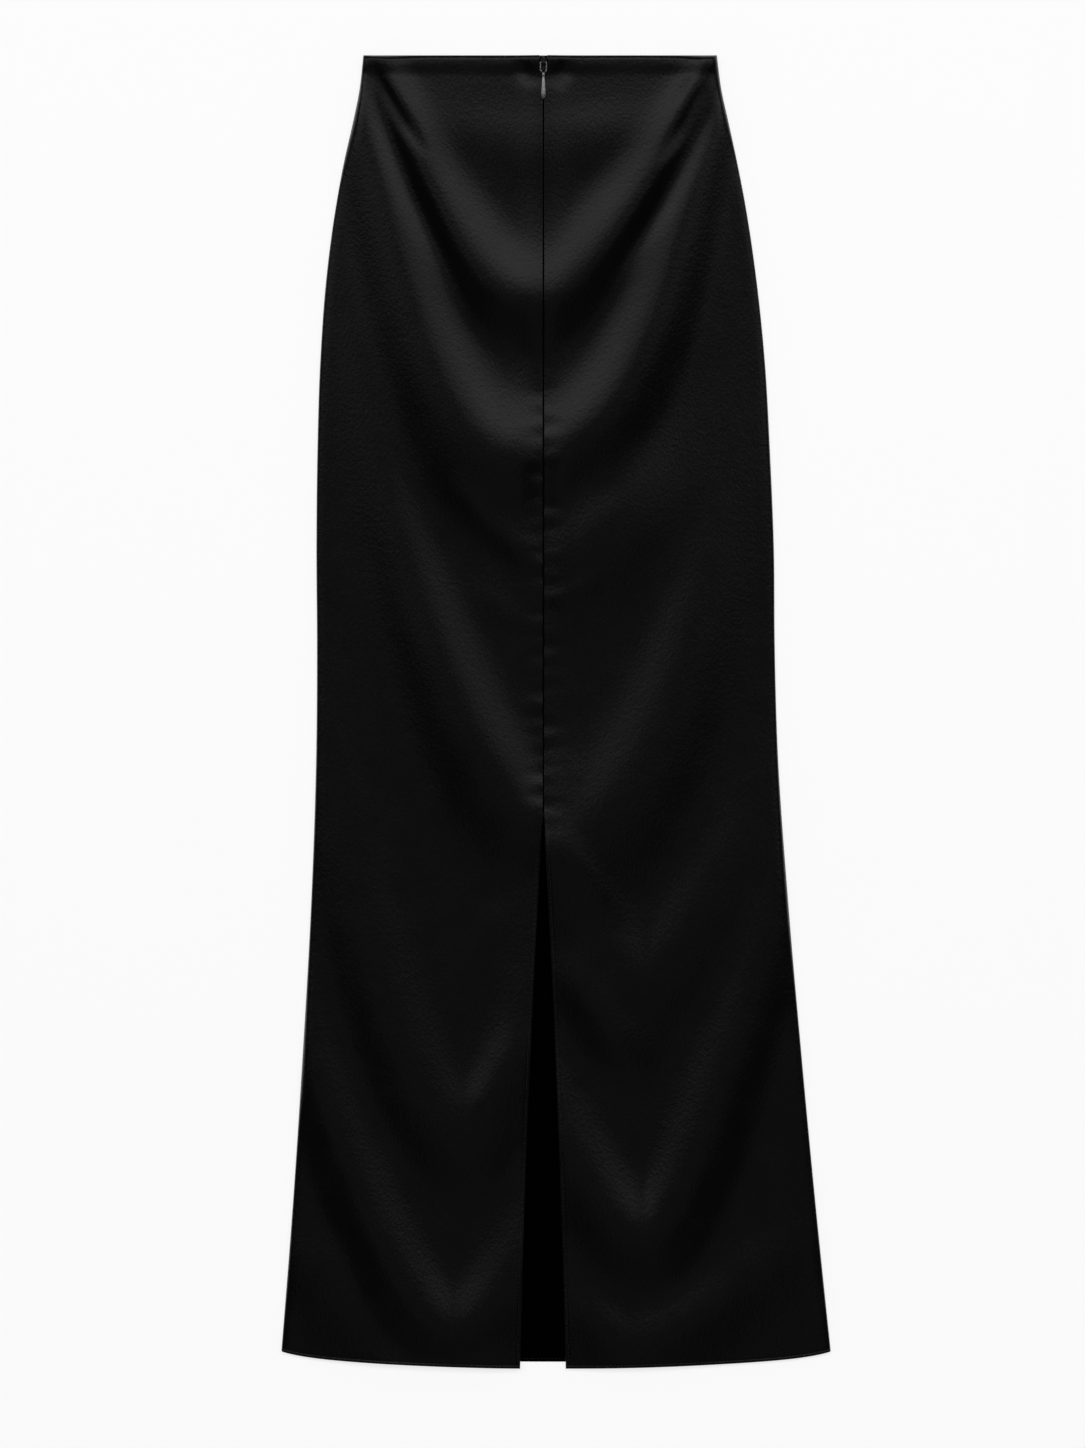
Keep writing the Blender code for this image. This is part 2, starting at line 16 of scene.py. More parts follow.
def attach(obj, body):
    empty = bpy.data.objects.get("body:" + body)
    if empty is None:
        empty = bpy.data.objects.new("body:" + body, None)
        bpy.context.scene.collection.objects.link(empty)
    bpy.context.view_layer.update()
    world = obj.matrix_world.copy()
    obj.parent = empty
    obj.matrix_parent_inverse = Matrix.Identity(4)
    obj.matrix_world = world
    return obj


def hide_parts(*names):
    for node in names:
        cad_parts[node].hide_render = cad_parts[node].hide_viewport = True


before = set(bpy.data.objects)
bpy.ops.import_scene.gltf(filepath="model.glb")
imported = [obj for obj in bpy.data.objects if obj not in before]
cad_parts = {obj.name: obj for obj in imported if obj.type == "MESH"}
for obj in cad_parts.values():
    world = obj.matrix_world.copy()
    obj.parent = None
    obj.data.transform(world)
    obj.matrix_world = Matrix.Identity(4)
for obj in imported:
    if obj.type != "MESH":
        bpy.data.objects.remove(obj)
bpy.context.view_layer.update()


# %% [markdown]
# ## Places on the cloth
# A tailor measures a skirt from its seams, so a place here is two distances: across, from
# the centre back seam, and down, from the waist edge. One function turns them into the
# world, with the waist at +Y. Working in the cloth's own measures keeps the seams, folds
# and stitches in step with each other, which points typed in by hand wouldn't do.

# %% Outline of the skirt
LEFT = -1
RIGHT = 1

LENGTH = 1.116          # waist edge to the lowest point of the back hem
GAP = 0.0003            # space between the halves along the seam
FRONT_SHORTER = 0.0058  # how much higher the front hem ends than the back hem


class Section(NamedTuple):
    """Distance of each side seam from the centre back seam, at one height."""

    down: float
    left: float
    right: float


OUTLINE = (
    Section(0.000, 0.1526, 0.1470),
    Section(0.030, 0.1560, 0.1510),
    Section(0.055, 0.1610, 0.1565),
    Section(0.090, 0.1689, 0.1641),
    Section(0.125, 0.1754, 0.1709),
    Section(0.190, 0.1841, 0.1806),
    Section(0.260, 0.1892, 0.1878),
    Section(0.340, 0.1917, 0.1923),
    Section(0.420, 0.1925, 0.1955),
    Section(0.500, 0.1920, 0.1962),
    Section(0.590, 0.1926, 0.1987),
    Section(0.720, 0.1969, 0.2077),
    Section(0.850, 0.2042, 0.2190),
    Section(0.975, 0.2124, 0.2308),
    Section(1.116, 0.2234, 0.2453),
)

HEM_SWEEP = 0.0105        # rise of the hem from the centre to the sides
HEM_CORNER_LIFT = 0.0043  # further rise close to the side seams
HEM_CORNER_POWER = 12

SLIT_TOP = 0.6456         # where the seam ends and the slit begins
SLIT_OFFSET = {LEFT: 0.0196, RIGHT: 0.0188}  # how far each slit edge stands off at the hem
SLIT_BOW = {LEFT: 0.45, RIGHT: 0.36}         # how much it bows, as a share of that

ZIP_PARTING = 0.0030      # how far each seam edge stands off around the slider
ZIP_PARTING_BAND = (0.0075, 0.0210)          # down, from fully parted to closed

HEM_LEFT = OUTLINE[-1].left
HEM_RIGHT = OUTLINE[-1].right
MIDDLE = (HEM_RIGHT - HEM_LEFT) / 2     # the skirt's middle, right of the centre seam
HEM_HALF_WIDTH = (HEM_RIGHT + HEM_LEFT) / 2


def smooth_step(start, end, value):
    """Rise smoothly from 0 at start to 1 at end."""
    share = np.clip((value - start) / (end - start), 0.0, 1.0)
    return share * share * (3.0 - 2.0 * share)


def smooth_curve(places, values, at):
    """Read a smooth curve through the given points, as a chain of Hermite arcs."""
    places = np.asarray(places)
    values = np.asarray(values)
    slopes = np.gradient(values, places)
    index = np.clip(np.searchsorted(places, at, side="right") - 1, 0, len(places) - 2)
    step = places[index + 1] - places[index]
    t = (at - places[index]) / step
    start = values[index] * (1 + 2 * t) * (1 - t) ** 2
    end = values[index + 1] * t * t * (3 - 2 * t)
    start_slope = slopes[index] * step * t * (1 - t) ** 2
    end_slope = slopes[index + 1] * step * t * t * (t - 1)
    return start + end + start_slope + end_slope


def side_edge(side, down):
    """Distance of a side seam from the centre back seam."""
    places = [section.down for section in OUTLINE]
    values = [section.left if side == LEFT else section.right for section in OUTLINE]
    return smooth_curve(places, values, down)


def hem_rise(right_of_seam):
    """How much higher than its lowest point the hem ends, at a place across it."""
    reach = np.abs((right_of_seam - MIDDLE) / HEM_HALF_WIDTH)
    return HEM_SWEEP * reach ** 2 + HEM_CORNER_LIFT * reach ** HEM_CORNER_POWER


def back_hem(right_of_seam):
    """Where the back's hem ends, down from the waist edge."""
    return LENGTH - hem_rise(right_of_seam)


def front_hem(right_of_seam):
    """The front ends higher at the centre and meets the back hem at the side seams."""
    share = hem_rise(right_of_seam) / (HEM_SWEEP + HEM_CORNER_LIFT)
    return back_hem(right_of_seam) - FRONT_SHORTER * (1 - share)


def inner_edge(side, down):
    """Distance of a back half's inner edge from the centre: seam, slit and zip end."""
    reach = np.clip((down - SLIT_TOP) / (LENGTH - SLIT_TOP), 0.0, None)
    slit = SLIT_OFFSET[side] * (reach + SLIT_BOW[side] * reach * (1 - reach))
    parting = ZIP_PARTING * (1 - smooth_step(*ZIP_PARTING_BAND, down))
    return GAP / 2 + slit + parting


def to_world(right_of_seam, down, height):
    """Turn places on the cloth into points of the world frame."""
    return np.stack([right_of_seam - MIDDLE, LENGTH / 2 - down, height], axis=-1)


print("hem is", round(HEM_LEFT + HEM_RIGHT, 4), "m wide")

# %% [markdown]
# ## The large folds
# Heavy satin that is lifted by the two ends of its waistband hangs between them in nested
# U shapes, like a curtain swag. They could be simulated, but a simulation seldom lands
# where one wants it, so each fold is a soft ridge along a curve, with the same numbers as
# the solid cloth underneath. A fold has a gentle flank inside the U and another outside.

# %% Table of folds
FOLD_TIP = 0.026        # half width of the round bottom of every U
PINCH_BAND = (0.05, 1.15)   # climb of an arm over which its flanks grow narrow
DROP_BAND = (0.30, 1.10)    # climb of an arm over which it loses height
ARM_DROP = 0.50         # share of a fold's height that is lost where its arms have climbed
ARM_FADE = 0.40         # half the distance over which an arm dies out
RUNS_ON = 2.0           # climb of an arm that doesn't die out before the edge of the cloth
TO_CORNER = 0.143       # span of the arms that end near the corner of the waist


class Fold(NamedTuple):
    """One U-shaped fold, whose crest climbs on both sides of its lowest point."""

    side: int           # LEFT or RIGHT half of the back
    centre: float       # across, at the lowest point of the crest
    bottom: float       # down, at the lowest point of the crest
    inner_span: float   # across, towards the seam, to where the crest has climbed by rise
    outer_span: float   # the same towards the side
    rise: float
    power: float        # 2 is a parabola, more is rounder at the bottom
    height: float       # of the crest over the smooth cloth
    upper: float        # width of the flank inside the U
    lower: float        # width of the flank outside the U
    pinch: float        # share of both widths that is lost where the crest has climbed
    inner_end: float    # climb at which the arm dies out, where 1 is the whole rise
    outer_end: float


FOLDS = (
    Fold(LEFT, 0.000, 0.082, TO_CORNER, 0.130, 0.060, 1.50, 0.0016, 0.034, 0.030, 0.40, RUNS_ON, 0.60),
    Fold(LEFT, 0.000, 0.214, TO_CORNER, 0.130, 0.193, 2.10, 0.0084, 0.037, 0.028, 0.60, RUNS_ON, RUNS_ON),
    Fold(LEFT, 0.000, 0.348, TO_CORNER, 0.155, 0.314, 2.80, 0.0094, 0.042, 0.056, 0.50, RUNS_ON, RUNS_ON),
    Fold(LEFT, 0.000, 0.640, TO_CORNER, 0.131, 0.268, 1.80, 0.0060, 0.038, 0.050, 0.45, RUNS_ON, 1.35),
    Fold(LEFT, 0.064, 0.922, 0.110, 0.128, 0.330, 1.80, 0.0043, 0.044, 0.038, 0.25, RUNS_ON, 0.90),
    Fold(LEFT, 0.076, 1.088, 0.137, 0.124, 0.247, 1.60, 0.0066, 0.038, 0.030, 0.35, RUNS_ON, RUNS_ON),
    Fold(LEFT, 0.075, 1.146, 0.066, 0.082, 0.060, 2.10, 0.0050, 0.030, 0.036, 0.10, RUNS_ON, RUNS_ON),
    Fold(RIGHT, 0.000, 0.078, TO_CORNER, 0.125, 0.055, 1.50, 0.0022, 0.034, 0.030, 0.40, RUNS_ON, 0.60),
    Fold(RIGHT, 0.000, 0.200, TO_CORNER, 0.132, 0.185, 1.60, 0.0084, 0.036, 0.028, 0.58, RUNS_ON, RUNS_ON),
    Fold(RIGHT, 0.000, 0.328, TO_CORNER, 0.151, 0.320, 2.60, 0.0092, 0.038, 0.040, 0.50, RUNS_ON, RUNS_ON),
    Fold(RIGHT, 0.000, 0.428, TO_CORNER, 0.129, 0.120, 1.45, 0.0052, 0.034, 0.056, 0.20, RUNS_ON, 0.85),
    Fold(RIGHT, 0.000, 0.672, TO_CORNER, 0.158, 0.275, 2.30, 0.0056, 0.046, 0.054, 0.35, RUNS_ON, 1.10),
    Fold(RIGHT, 0.086, 0.783, 0.104, 0.086, 0.148, 1.40, 0.0036, 0.038, 0.046, 0.35, RUNS_ON, 1.20),
    Fold(RIGHT, 0.084, 1.003, 0.165, 0.113, 0.302, 1.35, 0.0061, 0.036, 0.040, 0.32, RUNS_ON, RUNS_ON),
    Fold(RIGHT, 0.076, 1.100, 0.058, 0.084, 0.060, 1.30, 0.0048, 0.030, 0.036, 0.10, RUNS_ON, 1.50),
)


def fold_relief(fold, across, down):
    """Height of one fold over the smooth cloth."""
    away = across - fold.centre
    span = np.where(away < 0, fold.inner_span, fold.outer_span)
    end = np.where(away < 0, fold.inner_end, fold.outer_end)
    reach = np.hypot(away, FOLD_TIP)
    climb = (reach / span) ** fold.power - (FOLD_TIP / span) ** fold.power
    crest = fold.bottom - fold.rise * climb
    below = np.maximum(down - crest, 0.0)
    lean = np.abs(away) / np.hypot(reach, below)
    slope = fold.rise * fold.power * (reach / span) ** (fold.power - 1) / span * lean
    offset = (down - crest) / np.hypot(1, slope)
    climbed = np.maximum(fold.bottom - down, 0.0) / fold.rise
    along = np.hypot(away / span, climbed) / math.sqrt(2)
    width = np.where(offset < 0, fold.upper, fold.lower)
    width = width * (1 - fold.pinch * smooth_step(*PINCH_BAND, along))
    height = fold.height * (1 - ARM_DROP * smooth_step(*DROP_BAND, along))
    height = height * (1 - smooth_step(end - ARM_FADE, end + ARM_FADE, along))
    return height * np.exp(-(offset / width) ** 2)


print(len(FOLDS), "large folds")

# %% [markdown]
# ## The small creases
# Between the large folds real cloth has short grooves and ridges: sharp ones where it
# gathers into the corners of the waist, shallow ones beside the seam. Each is a soft line
# with a start, an end and a slight bend, so that a short table says them all.

# %% Table of creases
CREASE_FADE = 0.35      # share of a crease's length over which each end dies out


class Crease(NamedTuple):
    """A short ridge, or a groove when its height is negative."""

    side: int
    start: tuple      # (across, down) of its upper end
    end: tuple        # (across, down) of its lower end
    bend: float       # how far its middle lies off the straight line, towards the side
    width: float
    height: float


CREASES = (
    Crease(LEFT, (0.1560, -0.0100), (0.0760, 0.1900), 0.0060, 0.0110, -0.0036),
    Crease(LEFT, (0.1440, 0.0100), (0.1040, 0.0800), 0.0010, 0.0055, -0.0024),
    Crease(LEFT, (0.0215, 0.0120), (0.0090, 0.0250), 0.0, 0.0060, -0.0006),
    Crease(LEFT, (0.0800, 0.3600), (0.0060, 0.4300), 0.0040, 0.0120, 0.0014),
    Crease(LEFT, (0.0600, 0.4450), (0.0060, 0.4900), 0.0040, 0.0110, 0.0006),
    Crease(LEFT, (0.0040, 0.6510), (0.0420, 0.6860), 0.0, 0.0100, 0.0006),
    Crease(LEFT, (0.0060, 0.6740), (0.0520, 0.7260), 0.0, 0.0160, -0.0010),
    Crease(LEFT, (0.0160, 0.8300), (0.0720, 0.9080), -0.0030, 0.0190, 0.0016),
    Crease(RIGHT, (0.1540, 0.0000), (0.0550, 0.1900), 0.0105, 0.0110, -0.0034),
    Crease(RIGHT, (0.1420, 0.0130), (0.1040, 0.0850), 0.0010, 0.0060, -0.0026),
    Crease(RIGHT, (0.0235, 0.0110), (0.0115, 0.0270), 0.0, 0.0060, -0.0006),
    Crease(RIGHT, (0.0481, 0.4403), (0.0060, 0.4640), 0.0030, 0.0090, 0.0006),
    Crease(RIGHT, (0.0080, 0.5900), (0.0328, 0.6167), 0.0020, 0.0110, 0.0003),
    Crease(RIGHT, (0.0030, 0.6560), (0.0700, 0.7340), 0.0, 0.0120, 0.0010),
    Crease(RIGHT, (0.0040, 0.7620), (0.0860, 0.8640), -0.0030, 0.0230, 0.0038),
)


def crease_relief(crease, across, down):
    """Height of one crease over the cloth around it."""
    along_across = crease.end[0] - crease.start[0]
    along_down = crease.end[1] - crease.start[1]
    length = math.hypot(along_across, along_down)
    from_start = across - crease.start[0]
    under_start = down - crease.start[1]
    share = (from_start * along_across + under_start * along_down) / length ** 2
    sideways = (from_start * along_down - under_start * along_across) / length
    sideways = sideways - 4 * crease.bend * share * (1 - share)
    ends = smooth_step(-CREASE_FADE / 2, CREASE_FADE, share)
    ends = ends * (1 - smooth_step(1 - CREASE_FADE, 1 + CREASE_FADE / 2, share))
    return crease.height * ends * np.exp(-(sideways / crease.width) ** 2)


print(len(CREASES), "small creases")

# %% [markdown]
# ## Height of the cloth
# Everything that lifts the back off the front is added up in the next cells: the folds, the
# zip under the seam, the turned waist edge and the puckers that sewing leaves. It could be
# sculpted instead, but a sum of soft shapes can be read and changed one by one. Two of
# them are used again and again: a quarter round and a bell.

# %% Soft rises and falls
def rolled(distance, width):
    """Quarter-round rise from 0 at an edge to 1 at a distance of width."""
    share = np.clip(distance / width, 0.0, 1.0)
    return np.sqrt(1 - (1 - share) ** 2)


def near(distance, reach):
    """Bell that is 1 at no distance and fades over the reach."""
    return np.exp(-(distance / reach) ** 2)


def fades_out(band, distance):
    """Fall smoothly from 1 before the band to 0 past it."""
    return 1 - smooth_step(*band, distance)


print("a turned edge has half its height after", round(1 - math.sqrt(0.75), 3), "of its width")

# %% [markdown]
# ### The zip and the seam
# A concealed zip is thicker than the cloth, so the back rises over it, most of all over the
# slider. Below it the seam's thread is a little tighter than the satin, which makes small
# waves. Three sines of different lengths look uneven enough and need no random numbers.

# %% Rise over the zip
ZIP_END_BAND = (0.240, 0.300)       # down, where the rise over the zip dies out
ZIP_MOUND = 0.0021                  # rise of the cloth over the zip
ZIP_MOUND_REACH = 0.016
SLIDER_MOUND = 0.0009               # further rise over the slider, at the waist edge
SLIDER_MOUND_REACH = 0.010
SLIDER_HOLLOW = 0.0006              # dip of the cloth just below the slider
SLIDER_HOLLOW_DOWN = 0.019
SLIDER_HOLLOW_REACH = 0.007


def zip_mound(across, down):
    """Rise of the cloth over the zip and its slider, with the dip below the slider."""
    along = fades_out(ZIP_END_BAND, down)
    slider = SLIDER_MOUND * near(down, SLIDER_MOUND_REACH)
    hollow = SLIDER_HOLLOW * near(down - SLIDER_HOLLOW_DOWN, SLIDER_HOLLOW_REACH)
    return (ZIP_MOUND * along + slider - hollow) * near(across, ZIP_MOUND_REACH)


print("cloth rises", round(float(zip_mound(0.0, 0.0)) * 1000, 1), "mm over the slider")

# %% Puckers along the seam
SLIT_HOLD_BAND = (0.620, 0.720)     # down, where the held seam turns into the slit's edge
PUCKER = 0.00015                    # height of each of the waves
PUCKER_REACH = 0.013
PUCKER_BAND = (0.240, 0.330)        # down, where the puckers begin under the zip
PUCKER_LENGTHS = (0.0170, 0.0233, 0.0311)   # three waves that never fall in step
PUCKER_SHIFT = 1.3                  # start of the first wave, turned the other way on the left


def seam_puckers(side, across, down):
    """Small uneven waves along the seam below the zip, different on each side."""
    waves = sum(
        np.sin(2 * math.pi * down / length + side * (PUCKER_SHIFT + index))
        for index, length in enumerate(PUCKER_LENGTHS)
    )
    below_zip = smooth_step(*PUCKER_BAND, down) * fades_out(SLIT_HOLD_BAND, down)
    return PUCKER * waves * below_zip * near(across, PUCKER_REACH)


print("puckers are up to", round(len(PUCKER_LENGTHS) * PUCKER * 1000, 2), "mm high")

# %% [markdown]
# ### Held edges
# Seams and hems are stiffer than the cloth between them, so folds flatten out as they come
# near. Each edge takes away a share of the relief with a bell of its own.

# %% Folds, held down along the edges
WAIST_HOLD = 0.42             # share of the relief that is lost at the waist
WAIST_HOLD_REACH = 0.024
HEM_HOLD = 0.15
HEM_HOLD_REACH = 0.030
SEAM_HOLD = 0.20              # share of the relief that the centre seam pulls flat
SEAM_HOLD_REACH = 0.012
SLIT_HOLD = 0.20
SLIT_HOLD_REACH = 0.030
SEAM_MATCH_REACH = 0.030      # width over which both halves come to one height at the seam
SEAM_MATCH_BAND = (0.610, 0.660)
LOFT = 0.0020                 # air under the smooth parts of the back
WAIST_ROLL = 0.004            # width over which the cloth rolls over at the waist
SIDE_ROLL = 0.010             # width over which the back rolls down to a side seam
SIDE_RISE = 0.0006            # the side seams lie a little higher, on the turned-up front
SIDE_RISE_REACH = 0.006


def half_relief(side, across, down):
    """Folds and creases of one back half."""
    relief = LOFT + sum(fold_relief(fold, across, down) for fold in FOLDS if fold.side == side)
    return relief + sum(crease_relief(c, across, down) for c in CREASES if c.side == side)


def held_relief(side, across, down):
    """Folds and creases, matched at the seam and pulled down towards every edge."""
    relief = half_relief(side, across, down)
    step = half_relief(-side, 0.0, down) - half_relief(side, 0.0, down)
    sewn = fades_out(SEAM_MATCH_BAND, down)
    relief = relief + step / 2 * sewn * near(across, SEAM_MATCH_REACH)
    slit_share = smooth_step(*SLIT_HOLD_BAND, down)
    hold = SEAM_HOLD + (SLIT_HOLD - SEAM_HOLD) * slit_share
    reach = SEAM_HOLD_REACH + (SLIT_HOLD_REACH - SEAM_HOLD_REACH) * slit_share
    relief = relief * (1 - hold * near(across - inner_edge(side, down), reach))
    relief = relief * (1 - HEM_HOLD * near(back_hem(side * across) - down, HEM_HOLD_REACH))
    relief = relief * (1 - WAIST_HOLD * near(down, WAIST_HOLD_REACH)) * rolled(down, WAIST_ROLL)
    to_side = side_edge(side, down) - across
    return relief * rolled(to_side, SIDE_ROLL) + SIDE_RISE * near(to_side, SIDE_RISE_REACH)


sample = held_relief(LEFT, 0.03, 0.2)
print("the first fold stands", round(float(sample) * 1000, 1), "mm over the flat cloth")

# %% [markdown]
# ### Turned edges
# The waist edge is folded in and has several layers, which shows as a low band. The outer
# face of the back then adds the grooves of the topstitching, and its last millimetre rolls
# over, because a turned edge is round and a cut one would look like paper.

# %% Turned waist edge
WAIST_BAND = 0.0012                 # how much the turnings raise the cloth under the waist edge
WAIST_BAND_END = (0.0065, 0.0175)   # down, where the turnings end
WAIST_BAND_SLACK = 0.45             # share of that which is missing halfway to the side
WAIST_BAND_SLACK_ACROSS = 0.070
WAIST_BAND_SLACK_REACH = 0.035
DIMPLE = 0.0011                     # hollow on each side of the zip's top
DIMPLE_DOWN = 0.0110
DIMPLE_ACROSS = 0.0170
DIMPLE_REACH = 0.0066


def waist_turnings(across, down):
    """Rise of the cloth over the turnings of the waist edge, with the dimple by the zip."""
    band = WAIST_BAND * fades_out(WAIST_BAND_END, down) * rolled(down, WAIST_ROLL)
    slack = near(across - WAIST_BAND_SLACK_ACROSS, WAIST_BAND_SLACK_REACH)
    dimple = near(np.hypot(across - DIMPLE_ACROSS, down - DIMPLE_DOWN), DIMPLE_REACH)
    return band * (1 - WAIST_BAND_SLACK * slack) - DIMPLE * dimple


turnings = waist_turnings(0.1, WAIST_ROLL)
print("turnings lift the waist by", round(float(turnings) * 1000, 1), "mm")

# %% Outer face of the back
EDGE_HEIGHT = 0.0025          # outer face of the back where it lies down on the front
EDGE_ROUND = 0.0011           # radius of the turned edge at the hem, the slit and the seam
STITCH_INSET = 0.0026         # distance of the topstitching from an edge
STITCH_GROOVE = 0.00022
STITCH_GROOVE_WIDTH = 0.0005
SLIT_START_BAND = (SLIT_TOP - 0.002, SLIT_TOP + 0.002)


def stitch_groove(to_edge):
    """Depth of the groove that topstitching presses in beside an edge."""
    return STITCH_GROOVE * near(to_edge - STITCH_INSET, STITCH_GROOVE_WIDTH)


def back_height(side, across, down):
    """Height of the outer face of the back over the floor."""
    to_inner = across - inner_edge(side, down)
    to_hem = back_hem(side * across) - down
    relief = held_relief(side, across, down)
    relief = relief + zip_mound(across, down) + seam_puckers(side, across, down)
    relief = relief + waist_turnings(across, down)
    relief = relief - stitch_groove(to_inner) * smooth_step(*SLIT_START_BAND, down)
    relief = relief - stitch_groove(to_hem)
    drop = 1 - rolled(to_inner, EDGE_ROUND)
    drop = np.maximum(drop, 1 - rolled(to_hem, EDGE_ROUND))
    return EDGE_HEIGHT + relief - EDGE_ROUND * drop


sample = back_height(LEFT, 0.03, 0.2)
print("the back lies", round(float(sample) * 1000, 1), "mm high in its first fold")

# %% [markdown]
# ## Finishes
# A material is a small graph of nodes. Written out link by link it is hard to read, so
# one class wraps a socket and lets it be used in sums, and another makes any other node.

# %% Shader helpers
class Wire:
    """An output socket that can be used in arithmetic."""

    def __init__(self, graph, socket):
        self.graph = graph
        self.socket = socket

    def math(self, operation, first, second):
        return self.graph.node("ShaderNodeMath", {"operation": operation}, {0: first, 1: second})

    def __add__(self, other):
        return self.math("ADD", self, other)

    def __radd__(self, other):
        return self.math("ADD", other, self)

    def __sub__(self, other):
        return self.math("SUBTRACT", self, other)

    def __rsub__(self, other):
        return self.math("SUBTRACT", other, self)

    def __mul__(self, other):
        return self.math("MULTIPLY", self, other)

    def __rmul__(self, other):
        return self.math("MULTIPLY", other, self)


class Graph:
    """The nodes of a material or a world, to which others are added by kind."""

    def __init__(self, owner):
        owner.use_nodes = True
        self.tree = owner.node_tree

    def link(self, value, socket):
        if isinstance(value, Wire):
            self.tree.links.new(value.socket, socket)
        else:
            socket.default_value = value

    def node(self, kind, settings, sockets, output=0):
        """Add a node, settings first, then the values or links of its sockets."""
        node = self.tree.nodes.new(kind)
        for name, value in settings.items():
            if name == "stops":
                self.set_stops(node.color_ramp, value)
            else:
                setattr(node, name, value)
        for name, value in sockets.items():
            self.link(value, node.inputs[name])
        return Wire(self, node.outputs[output])

    @staticmethod
    def set_stops(ramp, stops):
        """Give a colour ramp its places and colours, with soft steps between them."""
        ramp.interpolation = "EASE"
        for element, (place, colour) in zip(ramp.elements, stops):
            element.position = place
            element.color = colour


MIX_SHARE, MIX_FIRST, MIX_SECOND = 0, 6, 7    # sockets of a Mix node that are for colours
MIX_COLOUR = 2                                # its output


class Finish(Graph):
    """A material with its shader."""

    def __init__(self, name):
        self.material = bpy.data.materials.new(name)
        super().__init__(self.material)
        self.shader = self.tree.nodes["Principled BSDF"]

    def noise(self, scale, detail, stretch=(1.0, 1.0, 1.0)):
        """Noise in the piece's own metres, stretched by a factor along each axis."""
        place = self.node("ShaderNodeTexCoord", {}, {}, "Object")
        place = self.node("ShaderNodeMapping", {}, {"Vector": place, "Scale": stretch})
        sockets = {"Vector": place, "Scale": scale, "Detail": detail}
        return self.node("ShaderNodeTexNoise", {}, sockets, "Fac")

    def blend(self, share, first, second):
        """A colour between two others."""
        sockets = {MIX_SHARE: share, MIX_FIRST: first, MIX_SECOND: second}
        return self.node("ShaderNodeMix", {"data_type": "RGBA"}, sockets, MIX_COLOUR)

    def relief(self, height, distance, strength):
        """A bump of so many metres, for the shader's normal."""
        sockets = {"Height": height, "Distance": distance, "Strength": strength}
        return self.node("ShaderNodeBump", {}, sockets)

    def set(self, **values):
        """Set or link sockets of the shader, with underscores for spaces."""
        for name, value in values.items():
            self.link(value, self.shader.inputs[name.replace("_", " ")])


def grey(value, blue=0.0):
    """A grey, with a little more blue if given."""
    return (value, value, value + blue, 1.0)


print("blends join sockets", MIX_FIRST, "and", MIX_SECOND, "of a Mix node")

# %% [markdown]
# ## Black satin
# Satin is woven so that long threads float over the surface. It looks almost black face
# on and shows a broad, soft, slightly grainy light where it tilts towards a window. The
# colour is therefore nearly black, the roughness middling, and a fine bump stretched along
# the threads breaks the light up into grain.

# %% Satin
SATIN_DARK = grey(0.0016, 0.0001)
SATIN_LIGHT = grey(0.0034, 0.0002)
SATIN_GRAIN = 640.0             # noise scales, in repeats a metre
SATIN_SLUB = 330.0
SATIN_MOTTLE = 38.0
GRAIN_STRETCH = (1.0, 0.6, 1.0)
SLUB_STRETCH = (1.0, 0.7, 1.0)
SATIN_ROUGHNESS = 0.14          # where mottle and grain are at their lowest
SATIN_BUMP = 0.00020
SATIN_BUMP_STRENGTH = 0.8


def make_satin():
    satin = Finish("satin_cloth")
    grain = satin.noise(SATIN_GRAIN, 2.0, GRAIN_STRETCH)
    slub = satin.noise(SATIN_SLUB, 3.0, SLUB_STRETCH)
    mottle = satin.noise(SATIN_MOTTLE, 4.0)
    satin.set(
        Base_Color=satin.blend(mottle, SATIN_DARK, SATIN_LIGHT),
        Roughness=SATIN_ROUGHNESS + 0.10 * mottle + 0.12 * grain,
        Normal=satin.relief(grain + slub, SATIN_BUMP, SATIN_BUMP_STRENGTH),
        Specular_IOR_Level=0.4,
    )
    return satin.material


satin_material = make_satin()
print("right side:", satin_material.name)

# %% [markdown]
# ## The wrong side
# On its back the same cloth shows only short threads, so it is dull. It gets a finish of its
# own, darker and rougher, with hardly any reflection.

# %% Wrong side of the satin
DULL_DARK = grey(0.0002)
DULL_LIGHT = grey(0.0006)
DULL_GRAIN = 1300.0
DULL_MOTTLE = 30.0
DULL_ROUGHNESS = 0.74
DULL_BUMP = 0.00015


def make_wrong_side():
    """The back of the cloth, where only short threads show: dull and woven."""
    dull = Finish("satin_wrong_side_cloth")
    grain = dull.noise(DULL_GRAIN, 3.0)
    mottle = dull.noise(DULL_MOTTLE, 4.0)
    dull.set(
        Base_Color=dull.blend(mottle, DULL_DARK, DULL_LIGHT),
        Roughness=DULL_ROUGHNESS + 0.10 * mottle,
        Normal=dull.relief(grain, DULL_BUMP, 0.6),
        Specular_IOR_Level=0.03,
    )
    return dull.material


wrong_side_material = make_wrong_side()
print("wrong side:", wrong_side_material.name)

# %% [markdown]
# ## The back halves
# Each half is a flat grid whose points are moved onto the height above, fine enough for
# the light to run smoothly over the folds. The rows and columns are closer together near
# the edges, where the cloth rolls over. Solidify then gives the sheet its thickness.

# %% Grid of a sheet
WAIST_INSETS = (0.0, 0.0002, 0.0006, 0.0012, 0.0020, 0.0030, 0.0040, 0.0052, 0.0066, 0.0082)
HEM_INSETS = (0.0, 0.0001, 0.0004, 0.0008, 0.0013, 0.0019, 0.0023, 0.0026, 0.0029, 0.0034, 0.0044)
SEAM_INSETS = HEM_INSETS      # the slit's edge is turned and stitched as the hem is
SIDE_INSETS = (0.0, 0.0002, 0.0007, 0.0014, 0.0024, 0.0037, 0.0053, 0.0073, 0.0097)
ROWS = 500
COLUMNS = 88
HEM_PASSES = 5                # passes that settle a point of the grid over the curved hem


